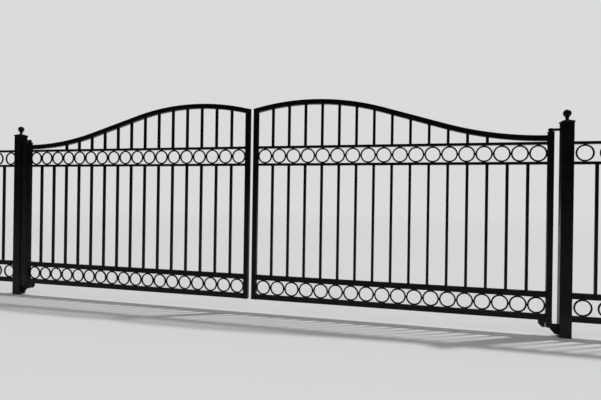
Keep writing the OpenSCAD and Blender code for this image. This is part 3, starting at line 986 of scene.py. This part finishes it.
@dataclass(frozen=True)
class Pivots:
    """The two pivots of a leaf: an arm over its hinge stile and one under it, with pins and bushings."""

    side: Side
    upper_arm: float = 0.014
    lower_arm: float = 0.024
    arm_room: float = 0.006
    arm_edge: float = 0.0014
    gusset: float = 0.012
    gusset_foot: float = 0.020
    gusset_foot_height: float = 0.015
    gusset_edge: float = 0.001
    pin: float = 0.008
    pin_tip: float = 0.0015
    pin_root: float = 0.002
    bore: float = 0.00805
    flange_room: float = 0.001
    flange_chamfer: float = 0.0008
    head: float = 0.012
    head_height: float = 0.005
    head_edge: float = 0.0006
    bead: Bead = Bead(0.0030)
    bushing_bead: Bead = Bead(0.0016)
    bead_lift: float = 0.0006
    bead_end: float = 0.002
    axis_room: float = 0.004
    steps: int = 48
    bead_steps: int = 32

    @property
    def axis(self) -> float:
        """The leaf's axis, as a distance from the gate's middle."""
        return self.side.box("hinge_stile").middle[0]

    @property
    def post_face(self) -> float:
        """The face of the post that carries the arms."""
        return self.side.box("post").low[0]

    def build(self) -> None:
        """Builds both arms with their pins, and both bushings."""
        upper, lower = (self.side.box(f"{level}_hinge_post_half") for level in ("upper", "lower"))
        cap, shoe = self.side.box("stile_cap"), self.side.box("corner_shoe")
        upper_base = upper.high[2] - self.head_height - self.upper_arm
        lower_base = shoe.high[2] - CornerShoe.over_arm - self.arm_room - self.lower_arm
        lower_top = lower_base + self.lower_arm
        for level, base, height in (
            ("upper", upper_base, self.upper_arm), ("lower", lower_base, self.lower_arm)
        ):
            shell, welds = Shell(self.side), Shell(self.side)
            self.arm(shell, welds, base, height)
            if level == "lower":
                self.gusset_plate(shell, welds, base)
            shell.dress(f"{level}_pivot_arm", HINGE_ENAMEL, FIXED_BODY, f"{level}_hinge_post_half")
            welds.dress(f"{level}_pivot_arm_welds", WELD_ENAMEL, FIXED_BODY)

        shell = Shell(self.side)
        self.pin_in(shell, upper.low[2], upper_base + self.pin_root)
        self.pin_in(shell, lower_top - self.pin_root, lower.high[2])
        self.pin_head(shell, upper_base + self.upper_arm)
        shell.dress("pivot_pins", PIN_STEEL, FIXED_BODY)
        self.bushing("upper", cap.high[2], upper_base - self.flange_room)
        self.bushing("lower", lower_top + self.flange_room, shoe.high[2] - CornerShoe.wall)

    def arm(self, shell: Shell, welds: Shell, base: float, height: float) -> None:
        """Adds a flat arm with a round end about the leaf's axis, and the bead that holds it to the post.

        Args:
            shell: Collects the arm.
            welds: Collects the bead.
            base: Height of the arm's underside.
            height: The arm's thickness.
        """
        axis, post = self.axis, self.post_face
        half = self.side.box("upper_hinge_post_half").size[1] / 2
        angles = np.radians(np.linspace(90, 270, self.steps // 2))
        bend = np.column_stack([axis + half * np.cos(angles), half * np.sin(angles)])
        outline = np.vstack([bend, [(post, -half), (post, half)]])
        shell.slab(outline, Axis.UP, (base, base + height), self.arm_edge)
        end = Box(np.array([axis, -half, base]), np.array([post, half, base + height]))
        seed = round(Seed.ARM_PER_METRE_UP * base)
        self.bead.around(welds, end, Axis.ALONG, post - self.bead_lift, seed)

    def gusset_plate(self, shell: Shell, welds: Shell, base: float) -> None:
        """Adds the gusset under the lower arm, with its beads.

        Args:
            shell: Collects the gusset.
            welds: Collects the beads.
            base: Height of the arm's underside.
        """
        axis, post, foot, half = self.axis, self.post_face, self.gusset_foot_height, self.gusset / 2
        top, seat = base + self.arm_edge, post - self.bead_lift
        outline = np.array([(axis, top), (post - self.gusset_foot, foot), (post, foot), (post, top)])
        shell.slab(outline, Axis.THROUGH, (-half, half), self.gusset_edge)
        for y in (-half, half):
            millimetres = round(y * 1000)
            self.bead.line(
                welds, (seat, y, foot + self.bead_end), (seat, y, base), Seed.GUSSET_TO_POST + millimetres
            )
            self.bead.line(
                welds, (post - self.bead_end, y, base), (axis + self.axis_room, y, base),
                Seed.GUSSET_TO_ARM + millimetres,
            )

    def pin_in(self, shell: Shell, low: float, high: float) -> None:
        """Adds a pin from one height to another, with chamfered tips."""
        length, tip = high - low, self.pin_tip
        shell.stack(np.array([self.axis, 0.0, low]), [
            (height, circle(radius, self.steps)) for height, radius in (
                (0.0, self.pin - tip), (tip, self.pin), (length - tip, self.pin), (length, self.pin - tip),
            )
        ])

    def pin_head(self, shell: Shell, base: float) -> None:
        """Adds the upper pin's domed head from a height up."""
        edge, radius, height = self.head_edge, self.head, self.head_height
        shell.stack(np.array([self.axis, 0.0, base]), [
            (up, circle(out, self.steps)) for up, out in (
                (0.0, radius - edge), (edge, radius), (0.45 * height, radius),
                (0.68 * height, 0.93 * radius), (0.86 * height, 0.74 * radius),
                (0.96 * height, 0.47 * radius), (height, 0.16 * radius),
            )
        ])

    def bushing(self, level: str, low: float, high: float) -> None:
        """Builds a bushing's flange and the bead that holds it.

        Args:
            level: Upper or lower.
            low: Height of the flange's underside.
            high: Height of its top.
        """
        part = f"{level}_hinge_leaf_half"
        radius, chamfer, height = self.side.box(part).size[0] / 2, self.flange_chamfer, high - low
        foot = np.array([self.axis, 0.0, low])
        shell, weld = Shell(self.side), Shell(self.side)
        shell.turn(foot, [
            (self.bore, 0.0), (radius - chamfer, 0.0), (radius, chamfer),
            (radius, height - chamfer), (radius - chamfer, height), (self.bore, height),
        ], self.steps)
        shell.dress(f"{level}_pivot_bushing", HINGE_ENAMEL, self.side.leaf, part)
        seat = low if level == "upper" else high
        ring = section_at(Axis.UP, seat, foot[:2] + circle(radius, self.bead_steps))
        self.bushing_bead.lay(weld, ring, True, Seed.BUSHING)
        weld.dress(f"{level}_pivot_bushing_weld", WELD_ENAMEL, self.side.leaf)


@dataclass(frozen=True)
class TopRail:
    """The bent tube along the top of a leaf, from the meeting stile to the hinge stile.

    Its upper edge is a crown arc, a straight run and a hollow arc, each tangent to the next.
    """

    side: Side
    crown_radius: float = 1.900
    sweep_radius: float = 2.300
    crown_from_edge: float = 0.465
    crown_rise: float = 0.308
    arc_steps: int = 40
    mitre_tries: int = 30

    @property
    def tube(self) -> float:
        """Width of the tube."""
        return self.side.box("hinge_stile").size[0]

    @property
    def edge(self) -> float:
        """The leaf's meeting edge."""
        return self.side.box("meeting_stile").low[0]

    @property
    def end_height(self) -> float:
        """Height of the upper edge at the hinge stile."""
        return self.side.box("top_rail").low[2] + self.tube

    @property
    def crown(self) -> np.ndarray:
        """Centre of the crown arc."""
        height = self.end_height + self.crown_rise - self.crown_radius
        return np.array([self.edge + self.crown_from_edge, height])

    @property
    def sweep(self) -> np.ndarray:
        """Centre of the hollow arc."""
        return np.array([self.side.box("hinge_stile").low[0], self.end_height + self.sweep_radius])

    @property
    def slope(self) -> float:
        """Slope of the straight run, as an angle."""
        run, reach = self.sweep[0] - self.crown[0], self.crown_radius + self.sweep_radius
        drop = reach - self.crown_rise
        return math.atan2(run, drop) - math.acos(reach / math.hypot(run, drop))

    def corner(self, depth: float) -> np.ndarray:
        """Works out the mitre's corner on one of the rail's lines.

        Args:
            depth: Depth of the line below the rail's upper edge.

        Returns:
            The corner in u and z.
        """
        u = self.edge + depth
        rise = math.sqrt((self.crown_radius - depth) ** 2 - (u - self.crown[0]) ** 2)
        return np.array([u, self.crown[1] + rise])

    def arc(
        self, centre: np.ndarray, radii: np.ndarray, first: np.ndarray, last: float
    ) -> list[np.ndarray]:
        """Works out the rail's lines round one arc.

        Args:
            centre: The arc's centre.
            radii: Each line's radius, negative where it lies under the centre.
            first: Angle from upright at which each line starts.
            last: Angle at which they all end.

        Returns:
            Sections along the arc, with u and z of each line.
        """
        angles = [first + (last - first) * step / self.arc_steps for step in range(self.arc_steps + 1)]
        return [centre + radii[:, None] * np.column_stack([np.sin(a), np.cos(a)]) for a in angles]

    def curve(self, depth: np.ndarray) -> np.ndarray:
        """Works out the rail's lines along the gate.

        Args:
            depth: Depth of each line below the rail's upper edge.

        Returns:
            Sections from the mitre to the hinge stile, with u and z of each line.
        """
        crown, slope = self.crown, self.slope
        outer, inner = self.corner(0.0), self.corner(self.tube)
        lean = (outer[0] - inner[0]) / (outer[1] - inner[1])
        radii = self.crown_radius - depth
        start = np.full(len(depth), self.edge)
        for _ in range(self.mitre_tries):
            z = crown[1] + np.sqrt(radii ** 2 - (start - crown[0]) ** 2)
            start = outer[0] + (z - outer[1]) * lean
        first = np.arcsin((start - crown[0]) / radii)
        return np.array(
            self.arc(crown, radii, first, slope)
            + self.arc(self.sweep, -self.sweep_radius - depth, np.full(len(depth), slope), 0.0)
        )

    def build(self) -> None:
        """Builds the rail."""
        outline = rounded_rectangle(self.tube, self.tube, BARS.tube_corner)
        lines = self.curve(self.tube / 2 - outline[:, 1])
        through = np.broadcast_to(outline[:, 0], lines.shape[:2])
        shell = Shell(self.side)
        shell.loft(np.stack([lines[:, :, 0], through, lines[:, :, 1]], axis=2))
        shell.dress("top_rail_tube", FRAME_ENAMEL, self.side.leaf, "top_rail")


@dataclass(frozen=True)
class Leaf:
    """One swinging leaf: stiles, rails, ring bands, pickets and their welds."""

    side: Side
    rings: int = 18
    pickets: int = 15
    short_pickets: int = 13
    cap_edge: float = 0.0012
    head_gap: float = 0.00035
    mitre_bead: Bead = Bead(0.0014)

    def build(self) -> None:
        """Builds every piece of the leaf."""
        self.stiles()
        TopRail(self.side).build()
        for part, corner in RAIL_CORNERS.items():
            self.fill(part, Axis.ALONG, corner)
        self.ring_bands()
        self.picket_rows()
        self.frame_welds()
        CornerShoe(self.side).build()
        Pivots(self.side).build()

    def fill(self, part: str, axis: Axis, corner: float) -> None:
        """Builds a straight tube that fills a node's box.

        Args:
            part: The node's name without its side.
            axis: The direction in which the tube runs.
            corner: Radius of its long edges.
        """
        shell = Shell(self.side)
        shell.bar(self.side.box(part), axis, corner)
        shell.dress(f"{part}_tube", FRAME_ENAMEL, self.side.leaf, part)

    def stiles(self) -> None:
        """Builds the two upright tubes and the hinge stile's cap."""
        self.fill("hinge_stile", Axis.UP, BARS.tube_corner)

        stile, rail = self.side.box("meeting_stile"), TopRail(self.side)
        outer, inner = rail.corner(0.0), rail.corner(rail.tube)
        outline = stile.outline(Axis.UP, BARS.tube_corner)
        head = outer[1] + (outline[:, 0] - outer[0]) * (inner[1] - outer[1]) / (inner[0] - outer[0])
        shell = Shell(self.side)
        shell.loft([section_at(Axis.UP, place, outline) for place in (stile.low[2], head)])
        shell.dress("meeting_stile_tube", FRAME_ENAMEL, self.side.leaf, "meeting_stile")

        shell = Shell(self.side)
        shell.plate(self.side.box("stile_cap"), self.cap_edge)
        shell.dress("stile_cap_plate", FRAME_ENAMEL, self.side.leaf, "stile_cap")

    def ring_bands(self) -> None:
        """Builds both bands of rings and their welds."""
        welds, radius = Shell(self.side), RINGS.outer / 2
        for part, seed in zip(RING_BANDS, (Seed.UPPER_RINGS, Seed.LOWER_RINGS)):
            box, rings = self.side.box(part), Shell(self.side)
            places = np.linspace(box.low[0] + radius, box.high[0] - radius, self.rings)
            RINGS.band(rings, welds, box, places, True, seed)
            rings.dress(f"{part}_row", RING_ENAMEL, self.side.leaf, part)
        welds.dress("ring_welds", WELD_ENAMEL, self.side.leaf)

    def picket_rows(self) -> None:
        """Builds the long pickets and the short ones under the top rail, with their welds."""
        long_row, short_row, welds = (Shell(self.side) for _ in range(3))
        bars = BARS.row(long_row, self.side.box("pickets"), self.pickets)
        long_row.dress("picket_bars", FRAME_ENAMEL, self.side.leaf, "pickets")
        BARS.bar_welds(welds, bars, Seed.PICKETS)

        rail, short = TopRail(self.side), self.side.box("short_pickets")
        under = rail.curve(np.array([rail.tube + self.head_gap]))[:, 0]
        for index, bar in enumerate(bars[:self.short_pickets]):
            box = short.between(bar.low[0], bar.high[0])
            outline, rim = (
                box.outline(Axis.UP, radius, steps)
                for radius, steps in ((BARS.bar_edge, 4), (BARS.bar_bead.radius, 1))
            )
            heads = [np.interp(points[:, 0], *under.T) for points in (outline, rim)]
            short_row.loft([section_at(Axis.UP, place, outline) for place in (short.low[2], heads[0])])
            BARS.bar_bead.around(welds, box, Axis.UP, short.low[2], Seed.SHORT_PICKET_FEET + index)
            path = section_at(Axis.UP, heads[1], rim)
            BARS.bar_bead.lay(welds, path, True, Seed.SHORT_PICKET_HEADS + index)
        short_row.dress("short_picket_bars", FRAME_ENAMEL, self.side.leaf, "short_pickets")
        welds.dress("picket_welds", WELD_ENAMEL, self.side.leaf)

    def frame_welds(self) -> None:
        """Builds the beads round the rails' ends and along the mitre of the top rail."""
        shell = Shell(self.side)
        BARS.rail_welds(shell, [self.side.box(part) for part in RAIL_CORNERS], Seed.RAILS)
        rail, stile = TopRail(self.side), self.side.box("hinge_stile")
        u, half, top = stile.low[0], stile.size[1] / 2, rail.end_height
        end = Box(np.array([u, -half, top - rail.tube]), np.array([u, half, top]))
        BARS.tube_bead.around(shell, end, Axis.ALONG, u, Seed.TOP_RAIL)
        outer, inner = rail.corner(0.0), rail.corner(rail.tube)
        path = [(outer, -half), (inner, -half), (inner, half), (outer, half)]
        path = np.array([(corner[0], y, corner[1]) for corner, y in path])
        self.mitre_bead.lay(shell, path, True, Seed.MITRE)
        shell.dress("frame_welds", WELD_ENAMEL, self.side.leaf)


@dataclass(frozen=True)
class FencePanel:
    """The fence bay beside a gate post: rails, pickets and single rings between them."""

    side: Side
    openings: int = 12

    def build(self) -> None:
        """Builds the panel and its welds."""
        box = self.side.box("fence_panel")
        bars, rings, welds = (Shell(self.side) for _ in range(3))
        rails = {part: self.side.box(part).between(box.low[0], box.high[0]) for part in RAIL_CORNERS}
        for part, corner in RAIL_CORNERS.items():
            bars.bar(rails[part], Axis.ALONG, corner)
        BARS.rail_welds(welds, list(rails.values()), Seed.FENCE_RAILS)
        pitch = box.size[0] / self.openings
        margin = pitch - BARS.picket / 2
        row = self.side.box("pickets").between(box.low[0] + margin, box.high[0] - margin)
        BARS.bar_welds(welds, BARS.row(bars, row, self.openings - 1), Seed.FENCE_PICKETS)
        bars.dress("fence_bars", FRAME_ENAMEL, FIXED_BODY, "fence_panel")
        places = box.low[0] + pitch * (np.arange(self.openings) + 0.5)
        for part, seed in zip(RING_BANDS, (Seed.FENCE_UPPER_RINGS, Seed.FENCE_LOWER_RINGS)):
            RINGS.band(rings, welds, self.side.box(part), places, False, seed)
        rings.dress("fence_rings", RING_ENAMEL, FIXED_BODY)
        welds.dress("fence_welds", WELD_ENAMEL, FIXED_BODY)


@dataclass(frozen=True)
class Studio:
    """A pale floor that melts into a pale surround, a soft key lamp and an even fill."""

    pale: Colour = (0.70, 0.71, 0.715, 1.0)
    floor_colour: Colour = (0.725, 0.73, 0.73, 1.0)
    floor_roughness: float = 0.8
    floor_specular: float = 0.2
    floor_radius: float = 60.0
    floor_solid: float = 4.0
    floor_gone: float = 36.0
    floor_steps: int = 96
    fill: float = 0.42
    flag: float = 0.05
    key_power: float = 2.04
    key_softness: float = 3.5
    key_from: tuple[float, float, float] = (0.47, 0.28, 0.84)

    def build(self) -> None:
        """Builds the floor, the surround and the key lamp."""
        self.floor()
        self.surround()
        self.key()

    def floor(self) -> None:
        """Builds the floor, which fades out far from the gate."""
        mesh = bpy.data.meshes.new("floor")
        points = [(GATE_MIDDLE + x, y, 0.0) for x, y in circle(self.floor_radius, self.floor_steps)]
        mesh.from_pydata(points, [], [tuple(range(self.floor_steps))])
        material = bpy.data.materials.new("pale_floor")
        material.use_nodes = True
        sheet = NodeSheet(material.node_tree)
        surface = material.node_tree.nodes["Principled BSDF"]
        surface.inputs["Base Color"].default_value = self.floor_colour
        surface.inputs["Roughness"].default_value = self.floor_roughness
        surface.inputs["Specular IOR Level"].default_value = self.floor_specular
        place = sheet.vector("SUBTRACT", sheet.on_part(), (GATE_MIDDLE, 0.0, 0.0)).outputs[0]
        away = sheet.vector("LENGTH", place).outputs["Value"]
        fade = sheet.ease(away, self.floor_solid, self.floor_gone)
        clear = sheet.add("BsdfTransparent").outputs[0]
        mixed = sheet.add("MixShader", {0: fade, 1: surface.outputs[0], 2: clear}).outputs[0]
        sheet.join(mixed, material.node_tree.nodes["Material Output"].inputs["Surface"])
        mesh.materials.append(material)
        put_in_scene("floor", mesh)

    def surround(self) -> None:
        """Builds the surround, pale to the camera and an even fill to the lighting.

        The paint's reflections see it dark everywhere but low behind the gate.
        """
        world = bpy.data.worlds.new("surround")
        world.use_nodes = True
        bpy.context.scene.world = world
        sheet = NodeSheet(world.node_tree)
        path = sheet.add("LightPath").outputs
        gloss = sheet.math("MAXIMUM", path["Is Glossy Ray"], path["Is Transmission Ray"])
        toward = sheet.add("SeparateXYZ", {0: sheet.add("TexCoord").outputs["Generated"]}).outputs
        behind = sheet.ease(toward["Y"], -0.25, 0.35)
        low = sheet.rest(sheet.ease(toward["Z"], -0.05, 0.01))
        studio = sheet.mix(sheet.math("MULTIPLY", behind, low), self.flag, 1.0)
        shaded = sheet.vector("SCALE", self.pale[:3])
        sheet.join(studio, shaded.inputs["Scale"])
        glossy = sheet.blend(gloss, (self.fill, self.fill, self.fill, 1.0), shaded.outputs[0])
        seen = sheet.blend(path["Is Camera Ray"], glossy, self.pale)
        sheet.join(seen, world.node_tree.nodes["Background"].inputs["Color"])

    def key(self) -> None:
        """Builds the key lamp, high behind the gate's right."""
        lamp = bpy.data.lights.new("key", "SUN")
        lamp.energy = self.key_power
        lamp.angle = math.radians(self.key_softness)
        placed = put_in_scene("key", lamp)
        placed.rotation_mode = "QUATERNION"
        placed.rotation_quaternion = Vector(self.key_from).to_track_quat("Z", "Y")


@dataclass(frozen=True)
class PhotoCamera:
    """The camera at the photograph's place, in a frame of 601 by 400 pixels."""

    image_width: int = 601
    focal_pixels: float = 481.8
    place: tuple[float, float, float] = (3.6033, -3.5692, 0.8889)
    turn: float = -0.2633
    roll: float = 0.01468
    sensor: float = 36.0
    reach: float = 500.0

    def build(self) -> None:
        """Builds the camera and makes it the scene's."""
        data = bpy.data.cameras.new("photo")
        data.sensor_width = self.sensor
        data.lens = self.sensor * self.focal_pixels / self.image_width
        data.clip_end = self.reach
        camera = put_in_scene("photo", data)
        ahead = Vector((math.sin(self.turn), math.cos(self.turn), 0.0))
        right = Vector((math.cos(self.turn), -math.sin(self.turn), 0.0))
        up = right.cross(ahead)
        rolled_right = math.cos(self.roll) * right + math.sin(self.roll) * up
        rolled_up = math.cos(self.roll) * up - math.sin(self.roll) * right
        turn = Matrix((rolled_right, rolled_up, -ahead)).transposed()
        camera.matrix_world = Matrix.Translation(self.place) @ turn.to_4x4()
        bpy.context.scene.camera = camera


def main() -> None:
    """Builds the gate's pieces, the studio and the camera."""
    logging.basicConfig(level=logging.INFO, format="%(name)s %(message)s")
    bpy.context.scene.view_settings.view_transform = "Standard"
    for side in Side:
        Post(side).build()
        Post(side, "end_post", "end_finial").build()
        FencePanel(side).build()
        Leaf(side).build()
    Studio().build()
    PhotoCamera().build()


if __name__ == "__main__":
    main()
